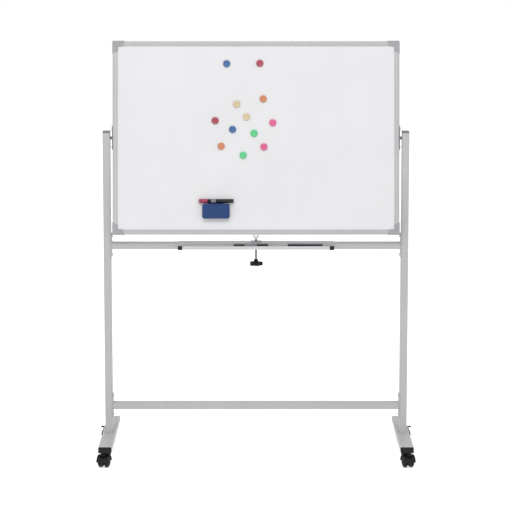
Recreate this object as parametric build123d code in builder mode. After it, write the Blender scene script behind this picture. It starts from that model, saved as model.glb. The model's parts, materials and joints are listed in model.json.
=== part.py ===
from build123d import *
from math import cos, radians, sin
import os

# Double-sided flip whiteboard on a wheeled stand.
# Millimetres, +X right, -Y front, +Z up, origin on the floor under the middle of the stand.

# Board
board_width = 1200.0
board_height = 810.0
board_depth = 20.0
board_lean = 9.0
pivot_height = 1349.0
rail_face = 21.0
rail_wall = 2.0
rail_round = 2.0
rail_core_gap = 1.0
sheet_thickness = 1.0
corner_wall = 1.5
corner_leg = 52.0
corner_slant = 8.0
corner_lip = 1.0
corner_block = 25.0
corner_outer_radius = 5.0
corner_chamfer = 0.5
corner_inner_radius = 6.0

# Pivots
pivot_gap = 11.0
pivot_plate_length = 100.0
pivot_plate_depth = 18.0
pivot_plate_thickness = 3.0
pivot_pin_radius = 5.0
pivot_collar_radius = 8.0
pivot_collar_length = 2.0
pivot_pin_overrun = 1.0
bush_flange_radius = 9.0
bush_flange_thickness = 2.0
bush_barrel_radius = 7.0
bush_tail = 4.0
pivot_nut_across_flats = 16.0
pivot_nut_height = 8.0
pivot_screw_spacing = 76.0
pivot_screw_radius = 2.0
pivot_screw_length = 12.0
pivot_screw_head_radius = 4.0
pivot_screw_head_height = 2.2

# Posts and crossbars
post_width = 30.0
post_depth = 60.0
post_above_pivot = 22.5
post_cap_thickness = 6.0
post_base_thickness = 6.0
tube_wall = 2.0
tube_radius = 3.0
crossbar_height = 25.0
crossbar_depth = 60.0
bar_below_board = 49.0
lower_bar_height = 207.0
end_plate_length = 100.0
end_plate_thickness = 3.0
end_plate_radius = 6.0
bolt_spacing = 80.0
bolt_radius = 4.0
bolt_head_radius = 7.0
bolt_head_height = 4.5
bolt_head_taper = 25.0
bolt_overrun = 1.5
nut_across_flats = 13.0
nut_height = 6.5
foot_bolt_spacing = 34.0

# Feet
foot_width = 55.0
foot_height = 25.0
foot_length = 600.0
foot_underside = 67.5
foot_cap_flange = 4.0
foot_cap_radius = 1.5
foot_plug_depth = 16.0
post_plug_depth = 10.0
plug_wall = 2.0
plug_clearance = 0.1

# Casters
wheel_radius = 25.0
wheel_inner_face = 7.3
wheel_dome = 27.0
wheel_dome_sag = 3.4
wheel_hub_radius = 5.0
wheel_dome_shoulder = 15.0
wheel_inner_drop = 4.0
wheel_round_side = 0.9
wheel_round_drop = 1.2
wheel_tread_start = 10.5
wheel_tread_end = 15.5
caster_trail = 22.0
caster_inset = 57.0
front_caster_yaw = 15.0
web_half = 6.5
web_bottom = 12.0
web_inset = 0.5
hood_inner_radius = 26.5
hood_outer_radius = 29.0
hood_half = 25.0
hood_edge_radius = 2.0
neck_radius = 14.5
neck_shoulder = 24.0
neck_shoulder_length = 13.0
neck_shoulder_sink = 1.5
neck_shoulder_overlap = 1.0
neck_top = 63.5
stem_radius = 5.0
stem_bottom = 42.0
stem_end_gap = 1.0
stem_block_length = 18.0
stem_block_floor = 4.0
stem_collar_across_flats = 17.0
stem_collar_gap = 0.3
socket_radius = 8.0
socket_flange_radius = 10.0
socket_flange_thickness = 1.5
socket_length = 20.0
axle_radius = 3.0
axle_half = 24.0
lever_half = 4.0
lever_slot_half = 4.5
lever_pad_half = 11.0
lever_pin_radius = 1.5
lever_pin_half = 6.0
lever_boss_radius = 4.0
lever_thickness = 3.0
lever_stem_half = 3.0
lever_elbow_drop = 1.5
lever_pad_overlap = 1.0
lever_pivot_trail = 33.0
lever_pivot_height = 40.0
lever_elbow_trail = 38.0
lever_elbow_height = 54.0
lever_tip_trail = 52.0
lever_tip_height = 60.0
lever_slot_reach = 22.0
lever_slot_gap = 1.0
lever_slot_angles = (-55.0, 25.0, 100.0, 190.0)

# Tray
tray_length = 649.0
tray_wall = 2.0
tray_reach = 58.0
tray_floor_drop = 4.0
tray_lip_height = 12.0
tray_hook_drop = 10.0
tray_cap_length = 18.0
tray_cap_wall = 2.0

# Clamp
clamp_plate_width = 46.0
clamp_plate_depth = 36.0
clamp_plate_thickness = 4.0
clamp_plate_corner = 4.0
clamp_bush_radius = 7.0
clamp_bush_length = 10.0
clamp_rod_radius = 4.0
clamp_slot = 22.0
clamp_prong = 3.0
clamp_swing_gap = 1.5
clamp_head_height = 18.5
clamp_head_base = 8.0
clamp_top_width = 30.0
clamp_bottom_width = 20.0
clamp_notch_top = 15.0
clamp_notch_bottom = 10.0
clamp_socket_depth = 5.0
knob_drop = 46.5
knob_lobe_height = 16.0
knob_height = 27.0
knob_lobes = 5
knob_lobe_radius = 8.5
knob_lobe_centre = 20.3
knob_disc_radius = 19.0
knob_hub_radius = 10.0
knob_hub_top_radius = 8.0
knob_bore_floor = 4.0
knob_valley_radius = 4.0
knob_edge_radius = 2.0

# Markers, eraser and magnets
marker_length = 146.0
marker_cap_length = 37.0
marker_cap_radius = 8.5
marker_barrel_radius = 8.2
marker_neck_radius = 6.9
marker_neck_length = 20.0
marker_nib_radius = 2.5
marker_nib_length = 7.0
marker_end_round = 1.5
marker_cap_end = 3.0
left_marker_x = -21.4
right_marker_x = 206.0
tray_marker_y = -60.0
eraser_width = 115.0
eraser_height = 62.0
eraser_case_thickness = 20.0
eraser_felt_thickness = 6.0
eraser_felt_margin = 0.8
eraser_corner_radius = 10.0
eraser_edge_radius = 4.0
eraser_taper = 4.0
eraser_x = -167.4
eraser_rise = 97.5
felt_slot_count = 9
felt_slot_width = 2.0
felt_slot_depth = 4.0
eraser_marker_rise = 42.5
eraser_marker_x = -166.5
cradle_half = 30.0
cradle_floor = 3.0
cradle_gap = 0.5
cradle_rise = 7.0
cradle_drop = 2.0
magnet_radius = 15.0
magnet_height = 7.0
magnet_edge_radius = 3.0
magnet_places = {
    "blue": [(-123, 310), (-98, 35)],
    "red": [(16, 312), (-171, 72)],
    "orange": [(30, 163), (-146, -35)],
    "cream": [(-81, 141), (-40, 88)],
    "green": [(-8, 19), (-54, -73)],
    "pink": [(70, 63), (33, -38)],
}

# Clearances
running_fit = 0.05
rest_gap = 0.3
bolt_clearance = 0.2
rod_clearance = 0.5
cap_fit = 0.07

# Sizes that follow from the ones above
core_thickness = board_depth - 2 * rail_wall - 2 * sheet_thickness
panel_thickness = core_thickness + 2 * sheet_thickness
panel_width = board_width - 2 * rail_wall - 2 * rail_core_gap
panel_height = board_height - 2 * rail_wall - 2 * rail_core_gap
post_inner_x = board_width / 2 + pivot_gap
post_x = post_inner_x + post_width / 2
foot_top = foot_underside + foot_height
caster_y = foot_length / 2 - caster_inset
crossbar_length = 2 * (post_inner_x - end_plate_thickness)
tray_front = -(crossbar_depth / 2 + tray_reach)
post_top = pivot_height + post_above_pivot
board_bottom = pivot_height - board_height / 2
upper_bar_height = board_bottom - bar_below_board
upper_bar_top = upper_bar_height + crossbar_height / 2
tray_floor_height = upper_bar_height - tray_floor_drop
tray_lip_top = tray_floor_height + tray_lip_height
clamp_tip = board_bottom - clamp_swing_gap
clamp_base_bottom = clamp_tip - clamp_head_height
clamp_base_top = clamp_base_bottom + clamp_head_base
knob_bottom = upper_bar_height - crossbar_height / 2 - knob_drop - knob_height
eraser_up = eraser_rise - board_height / 2
eraser_marker_up = eraser_up + eraser_marker_rise

up = Vector(0, sin(radians(board_lean)), cos(radians(board_lean)))
board_plane = Plane(
    origin=(0, 0, pivot_height),
    x_dir=(1, 0, 0),
    z_dir=(0, -cos(radians(board_lean)), sin(radians(board_lean))),
)
board_level = Plane(origin=(0, 0, pivot_height), z_dir=up)


os.makedirs("parts", exist_ok=True)


def save(part, name):
    part.label = name
    export_step(part, f"parts/{name}.step")


def side_plane(x, sign):
    # Local x is +Y, local y is +Z, and the normal points away from the middle of the stand.
    if sign > 0:
        return Plane(origin=(x, 0, 0), x_dir=(0, 1, 0), z_dir=(1, 0, 0))
    return Plane(origin=(-x, 0, 0), x_dir=(0, -1, 0), z_dir=(-1, 0, 0))


def tube_sketch(plane, width, depth):
    with BuildSketch(plane) as outline:
        RectangleRounded(width, depth, tube_radius)
        RectangleRounded(
            width - 2 * tube_wall, depth - 2 * tube_wall, tube_radius - tube_wall, mode=Mode.SUBTRACT
        )
    return outline.sketch


def plug_cap(plane, width, depth, head, plug):
    # A head flush with the tube and a hollow plug inside it. The plane lies on the tube's end.
    inner_width = width - 2 * tube_wall - 2 * plug_clearance
    inner_depth = depth - 2 * tube_wall - 2 * plug_clearance
    with BuildPart() as cap:
        with BuildSketch(plane):
            RectangleRounded(width, depth, tube_radius)
        extrude(amount=head)
        outer_face = cap.faces().sort_by(Axis(plane.origin, plane.z_dir))[-1]
        fillet(outer_face.edges(), foot_cap_radius)
        with BuildSketch(plane):
            RectangleRounded(inner_width, inner_depth, tube_radius - tube_wall)
            Rectangle(inner_width - 2 * plug_wall, inner_depth - 2 * plug_wall, mode=Mode.SUBTRACT)
        extrude(amount=-plug)
    return cap.part


# Board panel
def panel_layer(low, thickness):
    with BuildPart() as layer:
        with BuildSketch(board_plane.offset(low)):
            Rectangle(panel_width, panel_height)
        extrude(amount=thickness)
    return layer.part


screw_reach = pivot_plate_thickness + rail_wall + rail_core_gap
with BuildPart() as board_core:
    add(panel_layer(-core_thickness / 2, core_thickness))
    for sign in (1, -1):
        with BuildSketch(side_plane(board_width / 2 - rail_wall - rail_core_gap, sign)):
            for height in (pivot_screw_spacing / 2, -pivot_screw_spacing / 2):
                with Locations((sign * height * up.Y, pivot_height + height * up.Z)):
                    Circle(pivot_screw_radius)
        extrude(amount=-(pivot_screw_length - screw_reach), mode=Mode.SUBTRACT)
save(board_core.part, "board_core")
save(panel_layer(core_thickness / 2, sheet_thickness), "front_sheet")
save(panel_layer(-panel_thickness / 2, sheet_thickness), "back_sheet")


# Board rails
def board_rail(start, direction, length):
    # A channel open towards the panel. Local x is the board's normal.
    plane = Plane(
        origin=board_plane.from_local_coords(start), x_dir=board_plane.z_dir, z_dir=direction
    )
    with BuildPart() as rail:
        with BuildSketch(plane):
            Rectangle(board_depth, rail_face, align=(Align.CENTER, Align.MIN))
            with Locations((0, rail_wall)):
                Rectangle(
                    panel_thickness, rail_face, align=(Align.CENTER, Align.MIN), mode=Mode.SUBTRACT
                )
        extrude(amount=length)
        outer_edges = rail.edges().filter_by(lambda e: abs(e.length - length) < rail_wall / 2)
        web_edges = outer_edges.sort_by(Axis(plane.origin, plane.y_dir))[0:2]
        fillet(web_edges, rail_round)
    return rail.part


long_rail = board_width - 2 * corner_block
short_rail = board_height - 2 * corner_block
right = board_plane.x_dir
top_start = (-long_rail / 2, board_height / 2, 0)
bottom_start = (long_rail / 2, -board_height / 2, 0)
left_start = (-board_width / 2, -short_rail / 2, 0)
right_start = (board_width / 2, short_rail / 2, 0)
save(board_rail(top_start, right, long_rail), "rail_top")
save(board_rail(bottom_start, -right, long_rail), "rail_bottom")

with BuildPart() as side_rails:
    add(board_rail(left_start, up, short_rail))
    add(board_rail(right_start, -up, short_rail))
    for sign in (1, -1):
        with BuildSketch(side_plane(board_width / 2, sign)):
            for height in (pivot_screw_spacing / 2, -pivot_screw_spacing / 2):
                with Locations((sign * height * up.Y, pivot_height + height * up.Z)):
                    Circle(pivot_screw_radius)
        extrude(amount=-rail_wall, mode=Mode.SUBTRACT)
save(side_rails.part, "side_rails")

# Corner mouldings
corner_x = board_width / 2 + corner_wall
corner_y = board_height / 2 + corner_wall
corner_band = corner_wall + rail_face + corner_lip
corner_thickness = board_depth + 2 * corner_wall
inner_corner = (corner_x - corner_band, corner_y - corner_band)
with BuildPart() as board_corners:
    with BuildSketch(board_plane.offset(-corner_thickness / 2)) as corner_outline:
        with BuildLine():
            Polyline(
                (corner_x, corner_y),
                (corner_x - corner_leg, corner_y),
                (corner_x - corner_leg + corner_slant, corner_y - corner_band),
                inner_corner,
                (corner_x - corner_band, corner_y - corner_leg + corner_slant),
                (corner_x, corner_y - corner_leg),
                close=True,
            )
        make_face()
        diagonal = corner_outline.vertices().sort_by(Axis((0, 0, 0), (1, 1, 0)))
        fillet(diagonal[-1], corner_outer_radius)
        inner_vertex = corner_outline.vertices().sort_by_distance(inner_corner)[0]
        fillet(inner_vertex, corner_inner_radius)
    extrude(amount=corner_thickness)
    front_face = board_corners.faces().sort_by(Axis(board_plane.origin, board_plane.z_dir))[-1]
    back_face = board_corners.faces().sort_by(Axis(board_plane.origin, board_plane.z_dir))[0]
    chamfer(front_face.edges() + back_face.edges(), corner_chamfer)
    with BuildSketch(board_plane.offset(-board_depth / 2)):
        with Locations((board_width / 2 - corner_block, board_height / 2)):
            Rectangle(corner_leg, rail_face, align=(Align.MAX, Align.MAX))
        with Locations((board_width / 2, board_height / 2 - corner_block)):
            Rectangle(rail_face, corner_leg, align=(Align.MAX, Align.MAX))
    extrude(amount=board_depth, mode=Mode.SUBTRACT)
    with BuildSketch(board_plane.offset(-panel_thickness / 2)):
        Rectangle(panel_width, panel_height)
    extrude(amount=panel_thickness, mode=Mode.SUBTRACT)
    mirror(about=Plane.YZ)
    mirror(about=board_level)
save(board_corners.part, "board_corners")


# Pivots
def lean_rectangle(sign, along, across):
    # A rectangle on a side plane, its length along the board's height.
    with Locations((0, pivot_height)):
        Rectangle(across, along, rotation=-sign * board_lean)


pin_end = pivot_gap + tube_wall + bush_tail + rest_gap + pivot_nut_height + pivot_pin_overrun
with BuildPart() as pivot_plates:
    for sign in (1, -1):
        with BuildSketch(side_plane(board_width / 2, sign)):
            lean_rectangle(sign, pivot_plate_length, pivot_plate_depth)
            for height in (pivot_screw_spacing / 2, -pivot_screw_spacing / 2):
                with Locations((sign * height * up.Y, pivot_height + height * up.Z)):
                    Circle(pivot_screw_radius, mode=Mode.SUBTRACT)
        extrude(amount=pivot_plate_thickness)
        with BuildSketch(side_plane(board_width / 2 + pivot_plate_thickness, sign)):
            with Locations((0, pivot_height)):
                Circle(pivot_collar_radius)
        extrude(amount=pivot_collar_length)
        with BuildSketch(side_plane(board_width / 2 + pivot_plate_thickness, sign)):
            with Locations((0, pivot_height)):
                Circle(pivot_pin_radius)
        extrude(amount=pin_end - pivot_plate_thickness)
save(pivot_plates.part, "pivot_plates")

with BuildPart() as pivot_screws:
    for sign in (1, -1):
        for height in (pivot_screw_spacing / 2, -pivot_screw_spacing / 2):
            place = (sign * height * up.Y, pivot_height + height * up.Z)
            with BuildSketch(side_plane(board_width / 2 + pivot_plate_thickness, sign)):
                with Locations(place):
                    Circle(pivot_screw_head_radius)
            extrude(amount=pivot_screw_head_height)
            with BuildSketch(side_plane(board_width / 2 + pivot_plate_thickness, sign)):
                with Locations(place):
                    Circle(pivot_screw_radius)
            extrude(amount=-pivot_screw_length)
save(pivot_screws.part, "pivot_screws")

nut_x = post_inner_x + tube_wall + bush_tail + rest_gap
with BuildPart() as pivot_nuts:
    for sign in (1, -1):
        with BuildSketch(side_plane(nut_x, sign)):
            with Locations((0, pivot_height)):
                RegularPolygon(pivot_nut_across_flats / 2, 6, major_radius=False)
                Circle(pivot_pin_radius, mode=Mode.SUBTRACT)
        extrude(amount=pivot_nut_height)
save(pivot_nuts.part, "pivot_nuts")

with BuildPart() as pivot_bushes:
    for sign in (1, -1):
        with BuildSketch(side_plane(post_inner_x - bush_flange_thickness, sign)):
            with Locations((0, pivot_height)):
                Circle(bush_flange_radius)
                Circle(pivot_pin_radius + running_fit, mode=Mode.SUBTRACT)
        extrude(amount=bush_flange_thickness)
        with BuildSketch(side_plane(post_inner_x, sign)):
            with Locations((0, pivot_height)):
                Circle(bush_barrel_radius)
                Circle(pivot_pin_radius + running_fit, mode=Mode.SUBTRACT)
        extrude(amount=tube_wall + bush_tail)
save(pivot_bushes.part, "pivot_bushes")


# Posts
frame_bolt_heights = []
for bar in (upper_bar_height, lower_bar_height):
    frame_bolt_heights += [bar - bolt_spacing / 2, bar + bolt_spacing / 2]
foot_bolt_places = (-foot_bolt_spacing / 2, foot_bolt_spacing / 2)


def post(sign):
    with BuildPart() as tube:
        with BuildSketch(Plane(origin=(sign * post_x, 0, foot_top))):
            RectangleRounded(post_width, post_depth, tube_radius)
        extrude(amount=post_top - foot_top)
        with BuildSketch(Plane(origin=(sign * post_x, 0, foot_top + post_base_thickness))):
            RectangleRounded(
                post_width - 2 * tube_wall, post_depth - 2 * tube_wall, tube_radius - tube_wall
            )
        extrude(amount=post_top, mode=Mode.SUBTRACT)
        with BuildSketch(side_plane(post_inner_x, sign)):
            with Locations((0, pivot_height)):
                Circle(bush_barrel_radius)
            for height in frame_bolt_heights:
                with Locations((0, height)):
                    Circle(bolt_radius)
        extrude(amount=tube_wall, mode=Mode.SUBTRACT)
        with BuildSketch(Plane(origin=(sign * post_x, 0, foot_top))):
            for y in foot_bolt_places:
                with Locations((0, y)):
                    Circle(bolt_radius)
        extrude(amount=post_base_thickness, mode=Mode.SUBTRACT)
    return tube.part


save(post(-1), "post_left")
save(post(1), "post_right")

with BuildPart() as post_caps:
    for sign in (1, -1):
        post_end = Plane(origin=(sign * post_x, 0, post_top))
        add(plug_cap(post_end, post_width, post_depth, post_cap_thickness, post_plug_depth))
save(post_caps.part, "post_caps")


# Crossbars
def crossbar_profile(height):
    left_end = Plane(origin=(-crossbar_length / 2, 0, height), x_dir=(0, 1, 0), z_dir=(1, 0, 0))
    return tube_sketch(left_end, crossbar_depth, crossbar_height)


clamp_bush_bottom = upper_bar_top + tray_wall - clamp_bush_length
with BuildPart() as upper_crossbar:
    extrude(crossbar_profile(upper_bar_height), amount=crossbar_length)
    with BuildSketch(Plane.XY.offset(upper_bar_height)):
        Circle(clamp_bush_radius)
    extrude(amount=crossbar_height, mode=Mode.SUBTRACT)
    with BuildSketch(Plane.XY.offset(upper_bar_height)):
        Circle(clamp_rod_radius + rod_clearance)
    extrude(amount=-crossbar_height, mode=Mode.SUBTRACT)
save(upper_crossbar.part, "upper_crossbar")

with BuildPart() as lower_crossbar:
    extrude(crossbar_profile(lower_bar_height), amount=crossbar_length)
save(lower_crossbar.part, "lower_crossbar")

with BuildPart() as crossbar_end_plates:
    for sign in (1, -1):
        for bar in (upper_bar_height, lower_bar_height):
            with BuildSketch(side_plane(crossbar_length / 2, sign)):
                with Locations((0, bar)):
                    RectangleRounded(crossbar_depth, end_plate_length, end_plate_radius)
                for height in (bar - bolt_spacing / 2, bar + bolt_spacing / 2):
                    with Locations((0, height)):
                        Circle(bolt_radius, mode=Mode.SUBTRACT)
            extrude(amount=end_plate_thickness)
save(crossbar_end_plates.part, "crossbar_end_plates")

# Bolts through the end plates into nuts behind the posts' walls, and up through the feet
frame_bolt_length = end_plate_thickness + tube_wall + nut_height + bolt_overrun
foot_bolt_length = foot_height + post_base_thickness
with BuildPart() as frame_bolts:
    for sign in (1, -1):
        for height in frame_bolt_heights:
            with BuildSketch(side_plane(crossbar_length / 2, sign)):
                with Locations((0, height)):
                    Circle(bolt_head_radius)
            extrude(amount=-bolt_head_height, taper=bolt_head_taper)
            with BuildSketch(side_plane(crossbar_length / 2, sign)):
                with Locations((0, height)):
                    Circle(bolt_radius)
            extrude(amount=frame_bolt_length)
        for y in foot_bolt_places:
            with BuildSketch(Plane(origin=(sign * post_x, y, foot_underside))):
                Circle(bolt_head_radius)
            extrude(amount=-bolt_head_height, taper=bolt_head_taper)
            with BuildSketch(Plane(origin=(sign * post_x, y, foot_underside))):
                Circle(bolt_radius)
            extrude(amount=foot_bolt_length)
save(frame_bolts.part, "frame_bolts")

with BuildPart() as frame_nuts:
    for sign in (1, -1):
        for height in frame_bolt_heights:
            with BuildSketch(side_plane(post_inner_x + tube_wall, sign)):
                with Locations((0, height)):
                    RegularPolygon(nut_across_flats / 2, 6, major_radius=False)
                    Circle(bolt_radius, mode=Mode.SUBTRACT)
            extrude(amount=nut_height)
save(frame_nuts.part, "frame_nuts")


# Feet
foot_tube_half = foot_length / 2 - foot_cap_flange


def foot(sign):
    centre = (sign * post_x, -foot_tube_half, foot_underside + foot_height / 2)
    with BuildPart() as tube:
        profile = tube_sketch(
            Plane(origin=centre, x_dir=(-1, 0, 0), z_dir=(0, 1, 0)), foot_width, foot_height
        )
        extrude(profile, amount=2 * foot_tube_half)
        with BuildSketch(Plane(origin=(sign * post_x, 0, foot_underside))):
            for y in foot_bolt_places:
                with Locations((0, y)):
                    Circle(bolt_radius + bolt_clearance)
        extrude(amount=foot_height, mode=Mode.SUBTRACT)
        with BuildSketch(Plane(origin=(sign * post_x, 0, foot_underside))):
            for y in (caster_y, -caster_y):
                with Locations((0, y)):
                    Circle(socket_radius)
        extrude(amount=tube_wall, mode=Mode.SUBTRACT)
    return tube.part


save(foot(-1), "foot_left")
save(foot(1), "foot_right")

with BuildPart() as foot_end_caps:
    for x in (post_x, -post_x):
        for end in (1, -1):
            centre = (x, end * foot_tube_half, foot_underside + foot_height / 2)
            tube_end = Plane(origin=centre, x_dir=(-end, 0, 0), z_dir=(0, end, 0))
            add(plug_cap(tube_end, foot_width, foot_height, foot_cap_flange, foot_plug_depth))
save(foot_end_caps.part, "foot_end_caps")

# Caster sockets and stems
socket_bottom = foot_underside - socket_flange_thickness
stem_collar_bottom = neck_top + stem_collar_gap
stem_top = foot_underside + socket_length - stem_end_gap
stem_places = [(x, y) for x in (-post_x, post_x) for y in (-caster_y, caster_y)]
with BuildPart() as caster_sockets:
    for place in stem_places:
        with BuildSketch(Plane(origin=(*place, socket_bottom))):
            Circle(socket_flange_radius)
            Circle(stem_radius, mode=Mode.SUBTRACT)
        extrude(amount=socket_flange_thickness)
        with BuildSketch(Plane(origin=(*place, foot_underside))):
            Circle(socket_radius)
            Circle(stem_radius, mode=Mode.SUBTRACT)
        extrude(amount=socket_length)
save(caster_sockets.part, "caster_sockets")

with BuildPart() as caster_stems:
    for place in stem_places:
        with BuildSketch(Plane(origin=(*place, stem_bottom))):
            Circle(stem_radius)
        extrude(amount=stem_top - stem_bottom)
        with BuildSketch(Plane(origin=(*place, stem_collar_bottom))):
            RegularPolygon(stem_collar_across_flats / 2, 6, major_radius=False)
        extrude(amount=socket_bottom - stem_collar_bottom)
save(caster_stems.part, "caster_stems")


# Casters: hood, axle, pair of domed wheels and brake lever
def turned(centre, distance, angle):
    return (centre[0] + distance * cos(radians(angle)), centre[1] + distance * sin(radians(angle)))


def caster_hood(side, swivel):
    axle = (caster_trail, wheel_radius)
    lever_pivot = (lever_pivot_trail, lever_pivot_height)
    with BuildPart() as hood:
        with BuildSketch(side):
            with Locations(axle):
                Circle(hood_outer_radius)
                Circle(hood_inner_radius, mode=Mode.SUBTRACT)
            with Locations(axle):
                Rectangle(
                    3 * hood_outer_radius, 2 * hood_outer_radius,
                    align=(Align.CENTER, Align.MAX), mode=Mode.SUBTRACT,
                )
        extrude(amount=hood_half, both=True)
        rims = hood.edges().filter_by(GeomType.CIRCLE)
        outer_rims = rims.filter_by(lambda e: e.radius > (hood_inner_radius + hood_outer_radius) / 2)
        fillet(outer_rims, hood_edge_radius)
        with BuildSketch(side):
            with Locations(axle):
                Circle(hood_outer_radius - web_inset)
            with Locations((caster_trail, web_bottom)):
                Rectangle(
                    3 * hood_outer_radius, hood_outer_radius,
                    align=(Align.CENTER, Align.MAX), mode=Mode.SUBTRACT,
                )
        extrude(amount=web_half, both=True)
        stem_block_bottom = stem_bottom - stem_block_floor
        shoulder = wheel_radius + hood_inner_radius - neck_shoulder_sink
        with BuildSketch(Plane(origin=(swivel.origin.X, swivel.origin.Y, shoulder), x_dir=swivel.x_dir)):
            Ellipse(neck_shoulder_length, neck_shoulder)
        with BuildSketch(Plane(origin=(swivel.origin.X, swivel.origin.Y, neck_top), x_dir=swivel.x_dir)):
            Circle(neck_radius)
        loft()
        with BuildSketch(side):
            with Locations((0, stem_block_bottom)):
                Rectangle(
                    stem_block_length, shoulder + neck_shoulder_overlap - stem_block_bottom,
                    align=(Align.CENTER, Align.MIN),
                )
        extrude(amount=web_half, both=True)
        with BuildSketch(Plane(origin=(swivel.origin.X, swivel.origin.Y, stem_bottom - stem_end_gap))):
            Circle(stem_radius + running_fit)
        extrude(amount=neck_top, mode=Mode.SUBTRACT)
        with BuildSketch(side):
            with Locations(axle):
                Circle(axle_radius + running_fit)
            with Locations(lever_pivot):
                Circle(lever_pin_radius + running_fit)
        extrude(amount=2 * hood_half, both=True, mode=Mode.SUBTRACT)
        slot_root = lever_boss_radius + lever_slot_gap
        slot_reaches = (slot_root, lever_slot_reach, lever_slot_reach, slot_root)
        with BuildSketch(side):
            with Locations(lever_pivot):
                Circle(slot_root)
            with BuildLine():
                Polyline(
                    *(turned(lever_pivot, *corner) for corner in zip(slot_reaches, lever_slot_angles)),
                    close=True,
                )
            make_face()
        extrude(amount=lever_slot_half, both=True, mode=Mode.SUBTRACT)
    return hood.part


def caster_wheels(side, axle_centre, lateral):
    wheel_inner_radius = wheel_radius - wheel_inner_drop
    section = Plane(origin=axle_centre, x_dir=lateral, z_dir=side.x_dir)
    with BuildPart() as wheels:
        with BuildSketch(section):
            with BuildLine():
                Line((wheel_inner_face, axle_radius), (wheel_inner_face, wheel_inner_radius))
                ThreePointArc(
                    (wheel_inner_face, wheel_inner_radius),
                    (wheel_inner_face + wheel_round_side, wheel_radius - wheel_round_drop),
                    (wheel_tread_start, wheel_radius),
                )
                Line((wheel_tread_start, wheel_radius), (wheel_tread_end, wheel_radius))
                ThreePointArc(
                    (wheel_tread_end, wheel_radius),
                    (wheel_dome - wheel_dome_sag, wheel_dome_shoulder),
                    (wheel_dome, wheel_hub_radius),
                )
                Polyline(
                    (wheel_dome, wheel_hub_radius),
                    (wheel_dome, 0),
                    (axle_half, 0),
                    (axle_half, axle_radius),
                    (wheel_inner_face, axle_radius),
                )
            make_face()
        revolve(axis=Axis(axle_centre, lateral))
        mirror(about=Plane(origin=axle_centre, z_dir=lateral))
    return wheels.part


def caster_lever(side):
    pivot = (lever_pivot_trail, lever_pivot_height)
    with BuildPart() as lever:
        with BuildSketch(side):
            with BuildLine():
                Polyline(
                    (lever_pivot_trail - lever_stem_half, lever_pivot_height),
                    (lever_elbow_trail - lever_stem_half, lever_elbow_height),
                    (lever_elbow_trail, lever_elbow_height + lever_thickness),
                    (lever_tip_trail, lever_tip_height),
                    (lever_tip_trail, lever_tip_height - lever_thickness),
                    (lever_elbow_trail + lever_stem_half, lever_elbow_height - lever_elbow_drop),
                    (lever_pivot_trail + lever_stem_half, lever_pivot_height),
                    close=True,
                )
            make_face()
            with Locations(pivot):
                Circle(lever_boss_radius)
        extrude(amount=lever_half, both=True)
        with BuildSketch(side):
            with BuildLine():
                Polyline(
                    (lever_elbow_trail, lever_elbow_height + lever_thickness),
                    (lever_tip_trail, lever_tip_height),
                    (lever_tip_trail, lever_tip_height - lever_thickness),
                    (lever_elbow_trail + lever_pad_overlap, lever_elbow_height),
                    close=True,
                )
            make_face()
        extrude(amount=lever_pad_half, both=True)
        with BuildSketch(side):
            with Locations(pivot):
                Circle(lever_pin_radius)
        extrude(amount=lever_pin_half, both=True)
    return lever.part


def caster(name, x, y, heading):
    trail_dir = Vector(cos(radians(heading)), sin(radians(heading)), 0)
    lateral = trail_dir.cross(Vector(0, 0, 1))
    side = Plane(origin=(x, y, 0), x_dir=trail_dir, z_dir=lateral)
    swivel = Plane(origin=(x, y, 0), x_dir=trail_dir, z_dir=(0, 0, 1))
    axle_centre = side.from_local_coords((caster_trail, wheel_radius, 0))
    save(caster_hood(side, swivel), f"{name}_hood")
    with BuildPart() as axle:
        with BuildSketch(Plane(origin=axle_centre, x_dir=trail_dir, z_dir=lateral)):
            Circle(axle_radius)
        extrude(amount=axle_half, both=True)
    save(axle.part, f"{name}_axle")
    save(caster_wheels(side, axle_centre, lateral), f"{name}_wheels")
    save(caster_lever(side), f"{name}_brake_lever")


caster("front_left", -post_x, -caster_y, 270 - front_caster_yaw)
caster("front_right", post_x, -caster_y, 270 + front_caster_yaw)
caster("rear_left", -post_x, caster_y, 180)
caster("rear_right", post_x, caster_y, 0)

# Tray: a hook over the crossbar, a back wall, a floor and a front lip
tray_back = -crossbar_depth / 2 - tray_wall
tray_end = Plane(origin=(-tray_length / 2, 0, 0), x_dir=(0, 1, 0), z_dir=(1, 0, 0))
tray_floor_bottom = tray_floor_height - tray_wall
with BuildPart() as tray:
    with BuildSketch(tray_end):
        with BuildLine():
            Polyline(
                (crossbar_depth / 2, upper_bar_top),
                (crossbar_depth / 2, upper_bar_top - tray_hook_drop),
                (crossbar_depth / 2 + tray_wall, upper_bar_top - tray_hook_drop),
                (crossbar_depth / 2 + tray_wall, upper_bar_top + tray_wall),
                (tray_back, upper_bar_top + tray_wall),
                (tray_back, tray_floor_height),
                (tray_front, tray_floor_height),
                (tray_front, tray_lip_top),
                (tray_front - tray_wall, tray_lip_top),
                (tray_front - tray_wall, tray_floor_bottom),
                (-crossbar_depth / 2, tray_floor_bottom),
                (-crossbar_depth / 2, upper_bar_top),
                close=True,
            )
        make_face()
    extrude(amount=tray_length)
    with BuildSketch(Plane.XY.offset(upper_bar_top)):
        Circle(clamp_bush_radius)
    extrude(amount=tray_wall, mode=Mode.SUBTRACT)
save(tray.part, "tray")

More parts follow.
